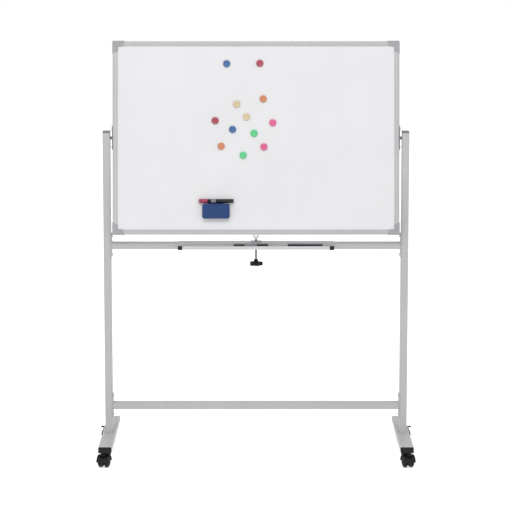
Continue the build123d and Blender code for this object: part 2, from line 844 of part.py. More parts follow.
sleeve_front = tray_front - tray_wall - tray_cap_wall
sleeve_back = tray_front + tray_cap_wall
sleeve_bottom = tray_floor_bottom - tray_cap_wall
sleeve_start = tray_length / 2 + tray_cap_wall - tray_cap_length
with BuildPart() as tray_end_caps:
    sleeve_plane = Plane(origin=(sleeve_start, 0, 0), x_dir=(0, 1, 0), z_dir=(1, 0, 0))
    with BuildSketch(sleeve_plane):
        with BuildLine():
            Polyline(
                (sleeve_front, sleeve_bottom),
                (sleeve_front, tray_lip_top + tray_cap_wall / 2),
                (sleeve_back, tray_lip_top + tray_cap_wall / 2),
                (sleeve_back, tray_floor_height),
                (tray_front - tray_wall, sleeve_bottom),
                close=True,
            )
        make_face()
    extrude(amount=tray_cap_length)
    with BuildSketch(sleeve_plane.offset(tray_cap_length - tray_cap_wall)):
        with BuildLine():
            Polyline(
                (sleeve_front, sleeve_bottom),
                (sleeve_front, tray_lip_top + tray_cap_wall / 2),
                (sleeve_back, tray_lip_top + tray_cap_wall / 2),
                (tray_back, tray_floor_height + tray_cap_wall),
                (tray_back, sleeve_bottom),
                close=True,
            )
        make_face()
    extrude(amount=tray_cap_wall)
    with BuildSketch(sleeve_plane):
        with Locations((tray_front - tray_wall, tray_floor_bottom)):
            Rectangle(tray_wall, tray_lip_top - tray_floor_bottom, align=(Align.MIN, Align.MIN))
            Rectangle(tray_reach, tray_wall, align=(Align.MIN, Align.MIN))
    extrude(amount=tray_cap_length - tray_cap_wall, mode=Mode.SUBTRACT)
    mirror(about=Plane.YZ)
save(tray_end_caps.part, "tray_end_caps")

# Clamp: threaded plate, forked saddle, rod and five-lobed knob
plate_bottom = upper_bar_top + tray_wall
with BuildPart() as clamp_plate:
    with BuildSketch(Plane.XY.offset(plate_bottom)):
        RectangleRounded(clamp_plate_width, clamp_plate_depth, clamp_plate_corner)
    extrude(amount=clamp_plate_thickness)
    with BuildSketch(Plane.XY.offset(clamp_bush_bottom)):
        Circle(clamp_bush_radius)
    extrude(amount=clamp_bush_length)
    with BuildSketch(Plane.XY.offset(clamp_bush_bottom)):
        Circle(clamp_rod_radius + running_fit)
    extrude(amount=clamp_bush_length + clamp_plate_thickness, mode=Mode.SUBTRACT)
save(clamp_plate.part, "clamp_plate")

clamp_half_depth = clamp_slot / 2 + clamp_prong
rod_top = clamp_base_bottom + clamp_socket_depth - rest_gap
with BuildPart() as clamp_head:
    with BuildSketch(Plane.XZ):
        with BuildLine():
            Polyline(
                (-clamp_bottom_width / 2, clamp_base_bottom),
                (-clamp_top_width / 2, clamp_tip),
                (-clamp_notch_top / 2, clamp_tip),
                (-clamp_notch_bottom / 2, clamp_base_top),
                (clamp_notch_bottom / 2, clamp_base_top),
                (clamp_notch_top / 2, clamp_tip),
                (clamp_top_width / 2, clamp_tip),
                (clamp_bottom_width / 2, clamp_base_bottom),
                close=True,
            )
        make_face()
    extrude(amount=clamp_half_depth, both=True)
    with BuildSketch(Plane.YZ.offset(-clamp_top_width)):
        with Locations((0, clamp_base_top)):
            Rectangle(clamp_slot, clamp_tip, align=(Align.CENTER, Align.MIN))
    extrude(amount=2 * clamp_top_width, mode=Mode.SUBTRACT)
    with BuildSketch(Plane.XY.offset(clamp_base_bottom)):
        Circle(clamp_rod_radius + running_fit)
    extrude(amount=clamp_socket_depth, mode=Mode.SUBTRACT)
save(clamp_head.part, "clamp_head")

with BuildPart() as clamp_rod:
    with BuildSketch(Plane.XY.offset(knob_bottom + knob_bore_floor)):
        Circle(clamp_rod_radius)
    extrude(amount=rod_top - knob_bottom - knob_bore_floor)
save(clamp_rod.part, "clamp_rod")

with BuildPart() as clamp_knob:
    with BuildSketch(Plane.XY.offset(knob_bottom)) as star:
        Circle(knob_disc_radius)
        with PolarLocations(knob_lobe_centre, knob_lobes):
            Circle(knob_lobe_radius)
        valleys = star.vertices()
        fillet(valleys, knob_valley_radius)
    extrude(amount=knob_lobe_height)
    lobe_faces = clamp_knob.faces().filter_by(Axis.Z)
    fillet(lobe_faces.edges(), knob_edge_radius)
    with BuildSketch(Plane.XY.offset(knob_bottom + knob_lobe_height)):
        Circle(knob_hub_radius)
    with BuildSketch(Plane.XY.offset(knob_bottom + knob_height)):
        Circle(knob_hub_top_radius)
    loft()
    with BuildSketch(Plane.XY.offset(knob_bottom + knob_bore_floor)):
        Circle(clamp_rod_radius)
    extrude(amount=knob_height, mode=Mode.SUBTRACT)
save(clamp_knob.part, "clamp_knob")


# Markers, capped end at the plane's origin, lying along the plane's x
def marker(plane, name):
    nib_end = marker_cap_length - marker_neck_length - marker_nib_length
    axis = Axis(plane.origin, plane.x_dir)
    with BuildPart() as barrel:
        with BuildSketch(plane):
            with BuildLine():
                Polyline(
                    (nib_end, 0),
                    (nib_end, marker_nib_radius),
                    (nib_end + marker_nib_length, marker_nib_radius),
                    (nib_end + marker_nib_length, marker_neck_radius),
                    (marker_cap_length, marker_neck_radius),
                    (marker_cap_length, marker_barrel_radius),
                    (marker_length - marker_end_round, marker_barrel_radius),
                    (marker_length, marker_barrel_radius - marker_end_round),
                    (marker_length, 0),
                    close=True,
                )
            make_face()
        revolve(axis=axis)
    save(barrel.part, f"{name}_barrel")
    bore = marker_neck_radius + cap_fit
    with BuildPart() as cap:
        with BuildSketch(plane):
            with BuildLine():
                Polyline(
                    (0, 0),
                    (0, marker_cap_radius - marker_end_round),
                    (marker_end_round, marker_cap_radius),
                    (marker_cap_length, marker_cap_radius),
                    (marker_cap_length, bore),
                    (marker_cap_end, bore),
                    (marker_cap_end, 0),
                    close=True,
                )
            make_face()
        revolve(axis=axis)
    save(cap.part, f"{name}_cap")


tray_marker_z = tray_floor_height + rest_gap + marker_cap_radius
left_end = (left_marker_x + marker_length / 2, tray_marker_y, tray_marker_z)
right_end = (right_marker_x - marker_length / 2, tray_marker_y, tray_marker_z)
marker(Plane(origin=left_end, x_dir=(-1, 0, 0), z_dir=(0, 0, 1)), "left_marker")
marker(Plane(origin=right_end, x_dir=(1, 0, 0), z_dir=(0, 0, 1)), "right_marker")

cradle_bottom = panel_thickness / 2 + cradle_gap
eraser_marker_out = cradle_bottom + cradle_floor + rest_gap + marker_cap_radius
eraser_end = board_plane.from_local_coords(
    (eraser_marker_x - marker_length / 2, eraser_marker_up, eraser_marker_out)
)
marker(Plane(origin=eraser_end, x_dir=(1, 0, 0), z_dir=board_plane.z_dir), "eraser_marker")

# Eraser: a rounded case on slotted felt, with a cradle for a marker along its top
case_bottom = panel_thickness / 2 + eraser_felt_thickness
cradle_top = eraser_marker_up + cradle_rise
with BuildPart() as eraser_body:
    with BuildSketch(board_plane.offset(case_bottom)):
        with Locations((eraser_x, eraser_up)):
            RectangleRounded(eraser_width, eraser_height, eraser_corner_radius)
    extrude(amount=eraser_case_thickness, taper=eraser_taper)
    case_front = eraser_body.faces().sort_by(Axis(board_plane.origin, board_plane.z_dir))[-1]
    fillet(case_front.edges(), eraser_edge_radius)
    with BuildSketch(board_plane.offset(case_bottom)):
        with Locations((eraser_x, eraser_up)):
            Rectangle(2 * cradle_half, cradle_top - eraser_up, align=(Align.CENTER, Align.MIN))
    extrude(amount=eraser_marker_out - case_bottom - cradle_drop)
    with BuildSketch(board_plane.offset(cradle_bottom)):
        with Locations((eraser_x, eraser_up + eraser_height / 2)):
            Rectangle(
                2 * cradle_half, cradle_top - eraser_up - eraser_height / 2,
                align=(Align.CENTER, Align.MIN),
            )
    extrude(amount=case_bottom - cradle_bottom)
    groove_start = board_plane.from_local_coords(
        (eraser_x - eraser_width, eraser_marker_up, eraser_marker_out)
    )
    with BuildSketch(Plane(origin=groove_start, x_dir=up, z_dir=right)):
        Circle(marker_cap_radius + rest_gap)
    extrude(amount=2 * eraser_width, mode=Mode.SUBTRACT)
save(eraser_body.part, "eraser_body")

felt_width = eraser_width - 2 * eraser_felt_margin
felt_pitch = felt_width / (felt_slot_count + 1)
with BuildPart() as eraser_felt:
    with BuildSketch(board_plane.offset(panel_thickness / 2)):
        with Locations((eraser_x, eraser_up)):
            RectangleRounded(felt_width, eraser_height - 2 * eraser_felt_margin, eraser_corner_radius)
    extrude(amount=eraser_felt_thickness)
    with BuildSketch(board_plane.offset(panel_thickness / 2)):
        with Locations((eraser_x, eraser_up)):
            with GridLocations(felt_pitch, 1, felt_slot_count, 1):
                Rectangle(felt_slot_width, 2 * eraser_height)
    extrude(amount=felt_slot_depth, mode=Mode.SUBTRACT)
save(eraser_felt.part, "eraser_felt")

# Magnets
for colour, places in magnet_places.items():
    with BuildPart() as magnets:
        with BuildSketch(board_plane.offset(panel_thickness / 2)):
            with Locations(*places):
                Circle(magnet_radius)
        extrude(amount=magnet_height)
        tops = magnets.faces().sort_by(Axis(board_plane.origin, board_plane.z_dir))[-len(places):]
        fillet(tops.edges(), magnet_edge_radius)
    save(magnets.part, f"magnets_{colour}")
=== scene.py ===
import json
import math

import bmesh
import bpy
from mathutils import Matrix, Vector, noise


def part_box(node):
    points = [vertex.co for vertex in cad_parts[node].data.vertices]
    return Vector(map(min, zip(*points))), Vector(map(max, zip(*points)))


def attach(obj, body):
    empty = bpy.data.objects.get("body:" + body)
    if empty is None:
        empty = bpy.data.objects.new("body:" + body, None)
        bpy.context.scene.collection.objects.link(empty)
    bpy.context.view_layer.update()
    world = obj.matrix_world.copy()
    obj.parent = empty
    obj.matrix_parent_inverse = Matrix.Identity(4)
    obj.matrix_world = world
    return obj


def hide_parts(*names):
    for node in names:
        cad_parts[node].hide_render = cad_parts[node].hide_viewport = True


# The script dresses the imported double-sided whiteboard: finishes for the CAD nodes, finer pieces
# in place of some of them, and the stage. Profiles are in millimetres, all else in metres.

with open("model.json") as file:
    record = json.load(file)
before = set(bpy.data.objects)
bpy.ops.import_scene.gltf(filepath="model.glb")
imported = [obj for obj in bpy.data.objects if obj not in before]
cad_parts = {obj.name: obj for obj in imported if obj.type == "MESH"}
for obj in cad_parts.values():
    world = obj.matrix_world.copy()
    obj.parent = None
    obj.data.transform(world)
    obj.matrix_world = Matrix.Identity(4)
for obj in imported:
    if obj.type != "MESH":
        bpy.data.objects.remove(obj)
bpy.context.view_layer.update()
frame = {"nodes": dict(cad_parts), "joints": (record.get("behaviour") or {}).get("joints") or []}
scene = bpy.context.scene
nodes = frame["nodes"]
MM = 0.001

# Camera: pitch in degrees, focal length in pixels of a square image
CAMERA_PLACE = (0.0, -9.2, 2.219)
CAMERA_PITCH = 8.47
FOCAL_PX = 2203.4
IMAGE_PX = 512
SENSOR_MM = 36.0
CAMERA_CLIP = 60

scene.view_settings.view_transform = "Standard"
camera_data = bpy.data.cameras.new("camera")
camera_data.sensor_width = SENSOR_MM
camera_data.lens = SENSOR_MM * FOCAL_PX / IMAGE_PX
camera_data.clip_end = CAMERA_CLIP
camera = bpy.data.objects.new("camera", camera_data)
camera.location = CAMERA_PLACE
camera.rotation_euler = (math.radians(90 - CAMERA_PITCH), 0, 0)
scene.collection.objects.link(camera)
scene.camera = camera


# Node helpers
NOISE_ROUGHNESS = 0.55
RAMP_START = 0.35
RAMP_END = 0.65
CLOUD_SIZE = 6.0
CLOUD_DETAIL = 3.0
ROUGH_SPREAD = 0.06


class Graph:
    """A material's node tree with short calls."""

    def __init__(self, name):
        self.material = bpy.data.materials.new(name)
        self.material.use_nodes = True
        self.tree = self.material.node_tree
        self.shader = self.tree.nodes["Principled BSDF"]
        self.output = self.tree.nodes["Material Output"]

    def node(self, kind, operation=None):
        made = self.tree.nodes.new(kind)
        if operation is not None:
            made.operation = operation
        return made

    def link(self, source, target):
        self.tree.links.new(source, target)

    def coordinates(self, scale):
        place = self.node("ShaderNodeTexCoord")
        mapping = self.node("ShaderNodeMapping")
        mapping.inputs["Scale"].default_value = scale
        self.link(place.outputs["Object"], mapping.inputs["Vector"])
        return mapping.outputs["Vector"]

    def noise(self, scale, size, detail=4.0):
        texture = self.node("ShaderNodeTexNoise")
        texture.inputs["Scale"].default_value = size
        texture.inputs["Detail"].default_value = detail
        texture.inputs["Roughness"].default_value = NOISE_ROUGHNESS
        self.link(self.coordinates(scale), texture.inputs["Vector"])
        return texture.outputs["Fac"]

    def ramp(self, source, low, high):
        made = self.node("ShaderNodeValToRGB")
        made.color_ramp.elements[0].position = RAMP_START
        made.color_ramp.elements[1].position = RAMP_END
        made.color_ramp.elements[0].color = (*low, 1)
        made.color_ramp.elements[1].color = (*high, 1)
        self.link(source, made.inputs["Fac"])
        return made.outputs["Color"]

    def spread(self, source, low, high):
        made = self.node("ShaderNodeMapRange")
        made.inputs["To Min"].default_value = low
        made.inputs["To Max"].default_value = high
        self.link(source, made.inputs["Value"])
        return made.outputs["Result"]

    def bump(self, source, distance):
        made = self.node("ShaderNodeBump")
        made.inputs["Distance"].default_value = distance
        made.inputs["Strength"].default_value = 1.0
        self.link(source, made.inputs["Height"])
        self.link(made.outputs["Normal"], self.shader.inputs["Normal"])


def shade(colour, factor):
    """A colour made lighter or darker."""
    return tuple(min(1.0, channel * factor) for channel in colour)


def finish_of(name, colour, rough, grain=(1, 1, 1), size=900.0, depth=0.00003, vary=0.06,
              metallic=0.0, coat=0.0, specular=0.5):
    """A surface with large soft colour changes, fine grain in its gloss and a small bump.

    size is the grain's texture scale, stretched by grain, and depth its bump in metres. vary is
    the share by which the colour changes."""
    graph = Graph(name)
    inputs = graph.shader.inputs
    inputs["Metallic"].default_value = metallic
    inputs["Coat Weight"].default_value = coat
    inputs["Specular IOR Level"].default_value = specular
    clouds = graph.noise((1, 1, 1), CLOUD_SIZE, detail=CLOUD_DETAIL)
    tint = graph.ramp(clouds, shade(colour, 1 - vary), shade(colour, 1 + vary))
    graph.link(tint, inputs["Base Color"])
    fine = graph.noise(grain, size)
    graph.link(graph.spread(fine, rough - ROUGH_SPREAD, rough + ROUGH_SPREAD), inputs["Roughness"])
    graph.bump(fine, depth)
    return graph.material


enamel = finish_of("enamel", (0.71, 0.71, 0.725), 0.38, size=240.0, depth=0.00002, vary=0.012,
                   coat=0.05)
filler = finish_of("filler", (0.60, 0.50, 0.36), 0.9, size=700.0, depth=0.0002)
aluminium_x = finish_of("aluminium_x", (0.42, 0.42, 0.43), 0.42, grain=(0.02, 1, 1), size=2500.0,
                        metallic=0.75, vary=0.02)
aluminium_up = finish_of("aluminium_up", (0.45, 0.45, 0.46), 0.42, grain=(1, 0.15, 0.02), size=2500.0,
                         metallic=0.75, vary=0.02)
tray_aluminium = finish_of("tray_aluminium", (0.53, 0.53, 0.54), 0.45, grain=(0.02, 1, 1), size=2500.0,
                           metallic=0.2, vary=0.02)
corner_grey = finish_of("corner_grey", (0.325, 0.325, 0.34), 0.5, size=1600.0, depth=0.00006)
powder = finish_of("powder", (0.455, 0.455, 0.46), 0.42, size=1300.0, depth=0.00006, vary=0.02)
zinc = finish_of("zinc", (0.50, 0.50, 0.50), 0.32, size=800.0, metallic=1.0, vary=0.1)
dark_steel = finish_of("dark_steel", (0.20, 0.20, 0.21), 0.36, size=800.0, metallic=0.8, vary=0.1)
nylon = finish_of("nylon", (0.22, 0.22, 0.23), 0.5, size=1500.0)
black_plastic = finish_of("black_plastic", (0.009, 0.009, 0.012), 0.5, size=1600.0, depth=0.00005,
                          vary=0.12, specular=0.22)
cap_grey = finish_of("cap_grey", (0.17, 0.17, 0.18), 0.5, size=1600.0, depth=0.00005)
wheel_black = finish_of("wheel_black", (0.007, 0.007, 0.009), 0.5, size=1200.0, depth=0.00004,
                        vary=0.15, specular=0.22)
felt = finish_of("felt", (0.02, 0.022, 0.035), 0.95, size=1800.0, depth=0.0006, vary=0.3, specular=0.1)
eraser_blue = finish_of("eraser_blue", (0.010, 0.041, 0.150), 0.5, size=1500.0, depth=0.00008,
                        vary=0.08, specular=0.3)
marker_black = finish_of("marker_black", (0.009, 0.009, 0.013), 0.3, size=900.0, coat=0.05,
                         specular=0.25)
marker_red = finish_of("marker_red", (0.31, 0.014, 0.07), 0.3, size=900.0, coat=0.1)
marker_navy = finish_of("marker_navy", (0.008, 0.010, 0.028), 0.3, size=900.0, coat=0.05,
                        specular=0.25)
label_pale = finish_of("label_pale", (0.17, 0.17, 0.19), 0.4, size=900.0)
magnet_colours = {
    "blue": (0.035, 0.115, 0.31),
    "red": (0.36, 0.045, 0.08),
    "orange": (0.56, 0.21, 0.095),
    "cream": (0.61, 0.49, 0.30),
    "green": (0.085, 0.53, 0.21),
    "pink": (0.64, 0.10, 0.245),
}
magnet_finish = {
    colour: finish_of(f"magnet_{colour}", value, 0.35, size=900.0, coat=0.2, vary=0.05)
    for colour, value in magnet_colours.items()
}

# Finishes of the CAD nodes, also of those that a finer piece replaces
node_finish = {
    "front_sheet": enamel, "back_sheet": enamel, "board_core": filler,
    "rail_top": aluminium_x, "rail_bottom": aluminium_x, "side_rails": aluminium_up,
    "board_corners": corner_grey, "pivot_plates": dark_steel, "pivot_screws": zinc,
    "pivot_nuts": zinc, "pivot_bushes": nylon, "post_left": powder, "post_right": powder,
    "post_caps": cap_grey, "upper_crossbar": powder, "lower_crossbar": powder,
    "crossbar_end_plates": powder, "frame_bolts": zinc, "frame_nuts": zinc,
    "foot_left": powder, "foot_right": powder, "foot_end_caps": black_plastic,
    "caster_sockets": zinc, "caster_stems": zinc, "tray": tray_aluminium,
    "tray_end_caps": black_plastic, "clamp_plate": powder, "clamp_head": zinc,
    "clamp_rod": dark_steel, "clamp_knob": black_plastic, "eraser_body": eraser_blue,
    "eraser_felt": felt, "eraser_marker_barrel": marker_black, "eraser_marker_cap": marker_red,
    "left_marker_barrel": marker_black, "left_marker_cap": marker_black,
    "right_marker_barrel": marker_navy, "right_marker_cap": marker_navy,
}
for colour in magnet_colours:
    node_finish[f"magnets_{colour}"] = magnet_finish[colour]
casters = ("front_left", "front_right", "rear_left", "rear_right")
for caster in casters:
    node_finish[f"{caster}_hood"] = black_plastic
    node_finish[f"{caster}_axle"] = zinc
    node_finish[f"{caster}_wheels"] = wheel_black
    node_finish[f"{caster}_brake_lever"] = black_plastic

for name, finish in node_finish.items():
    mesh = nodes[name].data
    mesh.materials.clear()
    mesh.materials.append(finish)


# Edge radii of the CAD nodes that stay
WELD_REACH = 0.00001
SHARP_ANGLE = 35
HOOD_EDGE = 0.0006
LEVER_EDGE = 0.0008
SOFT_EDGES = {
    0.0003: ("post_left", "post_right", "upper_crossbar", "lower_crossbar", "foot_left", "foot_right",
             "pivot_screws", "pivot_nuts", "caster_sockets"),
    0.0005: ("tray", "clamp_plate", "crossbar_end_plates", "pivot_plates", "board_corners"),
    0.0008: ("clamp_head", "tray_end_caps", "eraser_body"),
}


def soften(name, width):
    """Rounds a CAD node's sharp edges."""
    weld = nodes[name].modifiers.new("weld", "WELD")
    weld.merge_threshold = WELD_REACH
    bevel = nodes[name].modifiers.new("bevel", "BEVEL")
    bevel.width = width
    bevel.segments = 2
    bevel.limit_method = "ANGLE"
    bevel.angle_limit = math.radians(SHARP_ANGLE)
    bevel.harden_normals = True


for width, names in SOFT_EDGES.items():
    for name in names:
        soften(name, width)
for caster in casters:
    soften(f"{caster}_hood", HOOD_EDGE)
    soften(f"{caster}_brake_lever", LEVER_EDGE)


# Mesh helpers
MERGE_REACH = 0.00002
NEARLY_PARALLEL = 0.99


def islands(name):
    """The separate solids of a CAD node, as lists of points."""
    bm = bmesh.new()
    bm.from_mesh(nodes[name].data)
    bmesh.ops.remove_doubles(bm, verts=bm.verts, dist=MERGE_REACH)
    found = []
    seen_verts = set()
    for start in bm.verts:
        if start in seen_verts:
            continue
        group = []
        stack = [start]
        seen_verts.add(start)
        while stack:
            vert = stack.pop()
            group.append(vert.co.copy())
            for edge in vert.link_edges:
                other = edge.other_vert(vert)
                if other not in seen_verts:
                    seen_verts.add(other)
                    stack.append(other)
        found.append(group)
    bm.free()
    return found


def middle(points):
    """The middle and the size of the points' box."""
    low = Vector([min(p[i] for p in points) for i in range(3)])
    high = Vector([max(p[i] for p in points) for i in range(3)])
    return (low + high) / 2, high - low


def facing(origin, axis):
    """A matrix whose local Z is axis, and whose local X is as near as can be to up."""
    z = Vector(axis).normalized()
    guide = Vector((0, 0, 1))
    if abs(guide.dot(z)) > NEARLY_PARALLEL:
        guide = Vector((1, 0, 0))
    x = (guide - z * guide.dot(z)).normalized()
    y = z.cross(x)
    made = Matrix((x, y, z)).transposed().to_4x4()
    made.translation = Vector(origin)
    return made


def add_piece(name, bm, finishes, body, slot, smooth):
    """A piece from a bmesh. Edges sharper than smooth, in degrees, stay sharp."""
    bmesh.ops.recalc_face_normals(bm, faces=bm.faces)
    mesh = bpy.data.meshes.new(name)
    bm.to_mesh(mesh)
    bm.free()
    for finish in finishes:
        mesh.materials.append(finish)
    mesh.polygons.foreach_set("use_smooth", [True] * len(mesh.polygons))
    mesh.set_sharp_from_angle(angle=math.radians(smooth))
    piece = bpy.data.objects.new(name, mesh)
    scene.collection.objects.link(piece)
    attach(piece, body)
    return piece


def lathe(bm, profile, place, segments=48, radius_at=None, material=0):
    """Turns a profile of (height, radius) pairs, in millimetres, round place's Z axis.

    A radius of 0 closes an end. radius_at changes the radius with height and angle."""
    rings = []
    for height, radius in ((height * MM, radius * MM) for height, radius in profile):
        if radius == 0:
            rings.append([bm.verts.new(place @ Vector((0, 0, height)))])
            continue
        ring = []
        for i in range(segments):
            angle = 2 * math.pi * i / segments
            r = radius if radius_at is None else radius_at(height, radius, angle)
            ring.append(bm.verts.new(place @ Vector((r * math.cos(angle), r * math.sin(angle), height))))
        rings.append(ring)
    for lower, upper in zip(rings, rings[1:]):
        for i in range(segments):
            j = (i + 1) % segments
            if len(lower) == 1:
                face = bm.faces.new((lower[0], upper[j], upper[i]))
            elif len(upper) == 1:
                face = bm.faces.new((lower[i], lower[j], upper[0]))
            else:
                face = bm.faces.new((lower[i], lower[j], upper[j], upper[i]))
            face.material_index = material


def arc(centre, radius, start, end, steps):
    """Points on an arc, as (height, radius) pairs. Angles are in degrees."""
    points = []
    for i in range(steps + 1):
        angle = math.radians(start + (end - start) * i / steps)
        points.append((centre[0] + radius * math.cos(angle), centre[1] + radius * math.sin(angle)))
    return points


joints = {joint["name"]: joint for joint in frame["joints"]}
BOARD_NORMAL = Vector(joints["eraser_pull_off"]["axis"])
BOARD_UP = BOARD_NORMAL.cross(Vector((1, 0, 0)))
board_place = Matrix((Vector((1, 0, 0)), BOARD_UP, BOARD_NORMAL)).transposed().to_4x4()
board_place.translation = Vector(joints["board_flip"]["pos_m"])
to_board = board_place.inverted()


def board_extent(points):
    """Low and high corners in millimetres, in the board's axes: across, up and out of the sheet."""
    local = [to_board @ Vector(p) / MM for p in points]
    return [Vector([pick(p[i] for p in local) for i in range(3)]) for pick in (min, max)]


# Frame rails: channels with rounded edges and two fine grooves down each face. One half of the
# section, as (depth from the board's edge, distance from its middle plane)
RAIL_HALF_OUTLINE = [
    (0.0, 8.4), (0.3, 9.3), (0.8, 9.75), (1.6, 10.0),
    (3.6, 10.0), (3.8, 9.6), (4.6, 9.6), (4.8, 10.0),
    (16.6, 10.0), (16.8, 9.6), (17.6, 9.6), (17.8, 10.0),
    (20.5, 10.0), (20.9, 9.85), (21.0, 9.5), (21.0, 8.05), (2.0, 8.05),
]
rail_outline = RAIL_HALF_OUTLINE + [(inward, -out) for inward, out in reversed(RAIL_HALF_OUTLINE)]


def rail_mesh(bm, start, along, inward, length):
    """A closed rail from start, in the board's axes, with its open side facing inward."""
    rings = []
    for reach in (0.0, length):
        ring = []
        for depth, out in rail_outline:
            point = Vector(start) + Vector(along) * reach + Vector(inward) * depth + Vector((0, 0, out))
            ring.append(bm.verts.new(board_place @ (point * MM)))
        rings.append(ring)
    count = len(rail_outline)
    for i in range(count):
        j = (i + 1) % count
        bm.faces.new((rings[0][i], rings[0][j], rings[1][j], rings[1][i]))
    bm.faces.new(rings[0])
    bm.faces.new(list(reversed(rings[1])))


for name, inward in (("rail_top", (0, -1, 0)), ("rail_bottom", (0, 1, 0)), ("side_rails", None)):
    bm = bmesh.new()
    for points in islands(name):
        low, high = board_extent(points)
        if inward is not None:
            edge = high.y if inward[1] < 0 else low.y
            rail_mesh(bm, (low.x, edge, 0), (1, 0, 0), inward, high.x - low.x)
            continue
        side = 1 if low.x > 0 else -1
        edge = high.x if side > 0 else low.x
        rail_mesh(bm, (edge, low.y, 0), (0, 1, 0), (-side, 0, 0), high.y - low.y)
    finish = aluminium_up if inward is None else aluminium_x
    piece = add_piece(f"{name}_channel", bm, [finish], "board", "frame_aluminium", smooth=35)
    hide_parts(name)


# Magnets: a plastic disc with a rounded rim and a dished top
MAGNET_LIFT = 0.05
MAGNET_FOOT = 1.0
MAGNET_FOOT_CHAMFER = 1.2
MAGNET_SIDE_DRAFT = 0.1
MAGNET_RIM = 3.0
MAGNET_DISH = 0.7
MAGNET_DISH_EDGE = 0.4
MAGNET_DISH_RADIUS = 10.5
MAGNET_DISH_SLOPE = 1.6
MAGNET_DISH_FLAT = 4.0
for colour, finish in magnet_finish.items():
    name = f"magnets_{colour}"
    bm = bmesh.new()
    for points in islands(name):
        heights = [BOARD_NORMAL.dot(p) for p in points]
        centre, size = middle(points)
        base = centre + BOARD_NORMAL * (min(heights) - BOARD_NORMAL.dot(centre))
        height = (max(heights) - min(heights)) / MM
        radius = size.x / 2 / MM
        dish = height - MAGNET_DISH
        profile = [(MAGNET_LIFT, 0), (MAGNET_LIFT, radius - MAGNET_FOOT_CHAMFER)]
        profile += [(MAGNET_FOOT, radius - MAGNET_SIDE_DRAFT)]
        profile += arc((height - MAGNET_RIM, radius - MAGNET_RIM), MAGNET_RIM, 90, 0, 6)
        profile += [(height - MAGNET_DISH * MAGNET_DISH_EDGE, MAGNET_DISH_RADIUS)]
        profile += [(dish, MAGNET_DISH_RADIUS - MAGNET_DISH_SLOPE), (dish, MAGNET_DISH_FLAT), (dish, 0)]
        lathe(bm, profile, facing(base, BOARD_NORMAL))
    body = f"{colour}_magnets"
    piece = add_piece(f"{colour}_magnet_discs", bm, [finish], body, f"magnet_{colour}", smooth=50)
    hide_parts(name)


# Markers: a barrel with a plain pale band, nib and end plug, and a ribbed cap. Each row has the
# body's and the cap's finish and slot, and the band's start and end as shares of the barrel
MARKERS = (
    ("eraser_marker", marker_black, marker_red, "marker_red", (0.14, 0.34)),
    ("left_marker", marker_black, marker_black, "marker_black", (0.10, 0.62)),
    ("right_marker", marker_navy, marker_navy, "marker_black", None),
)
CAP_RIBS = 24
CAP_RIB_DEPTH = 0.35
CAP_GRIP = (0.25, 0.86)
CAP_GRIP_STEP = 0.4
CAP_TOP = [(0.0, 0), (0.0, 4.6), (0.0, 5.0), (0.5, 5.6)]
CAP_TOP_HEIGHT = 0.5
CAP_TOP_MARGIN = 2.4
CAP_EDGE_RADIUS = 2.0
CAP_EDGE_HEIGHT = 2.2
CAP_WALL = 1.2
CAP_MOUTH_CHAMFER = 0.3
CAP_BORE_SHARE = 0.3
CAP_GAP = 0.05
NIB = [(9.9, 0), (9.9, 1.6), (12.5, 2.5), (17.0, 2.5), (17.0, 5.0)]
NECK_START = 19.0
NECK_STEP = 1.6
BARREL_CHAMFER = 0.3
BARREL_CHAMFER_LENGTH = 0.4
PLUG_LENGTH = 7.0
PLUG_GROOVE = 0.5
PLUG_GROOVE_WIDTH = 0.7
PLUG_STEP = 0.1
PLUG_EDGE_RADIUS = 2.0
PLUG_END = [(0.0, 2.0), (1.0, 1.6), (1.0, 0)]
BAND_RISE = 0.03
BAND_ROOT = 0.2


def ribbed_between(start, end):
    """A radius_at that cuts the cap's ribs between two heights in millimetres."""
    def ribbed(height, radius, angle):
        if not start <= height / MM <= end:
            return radius
        return radius - CAP_RIB_DEPTH * MM * (0.5 - 0.5 * math.cos(CAP_RIBS * angle))

    return ribbed


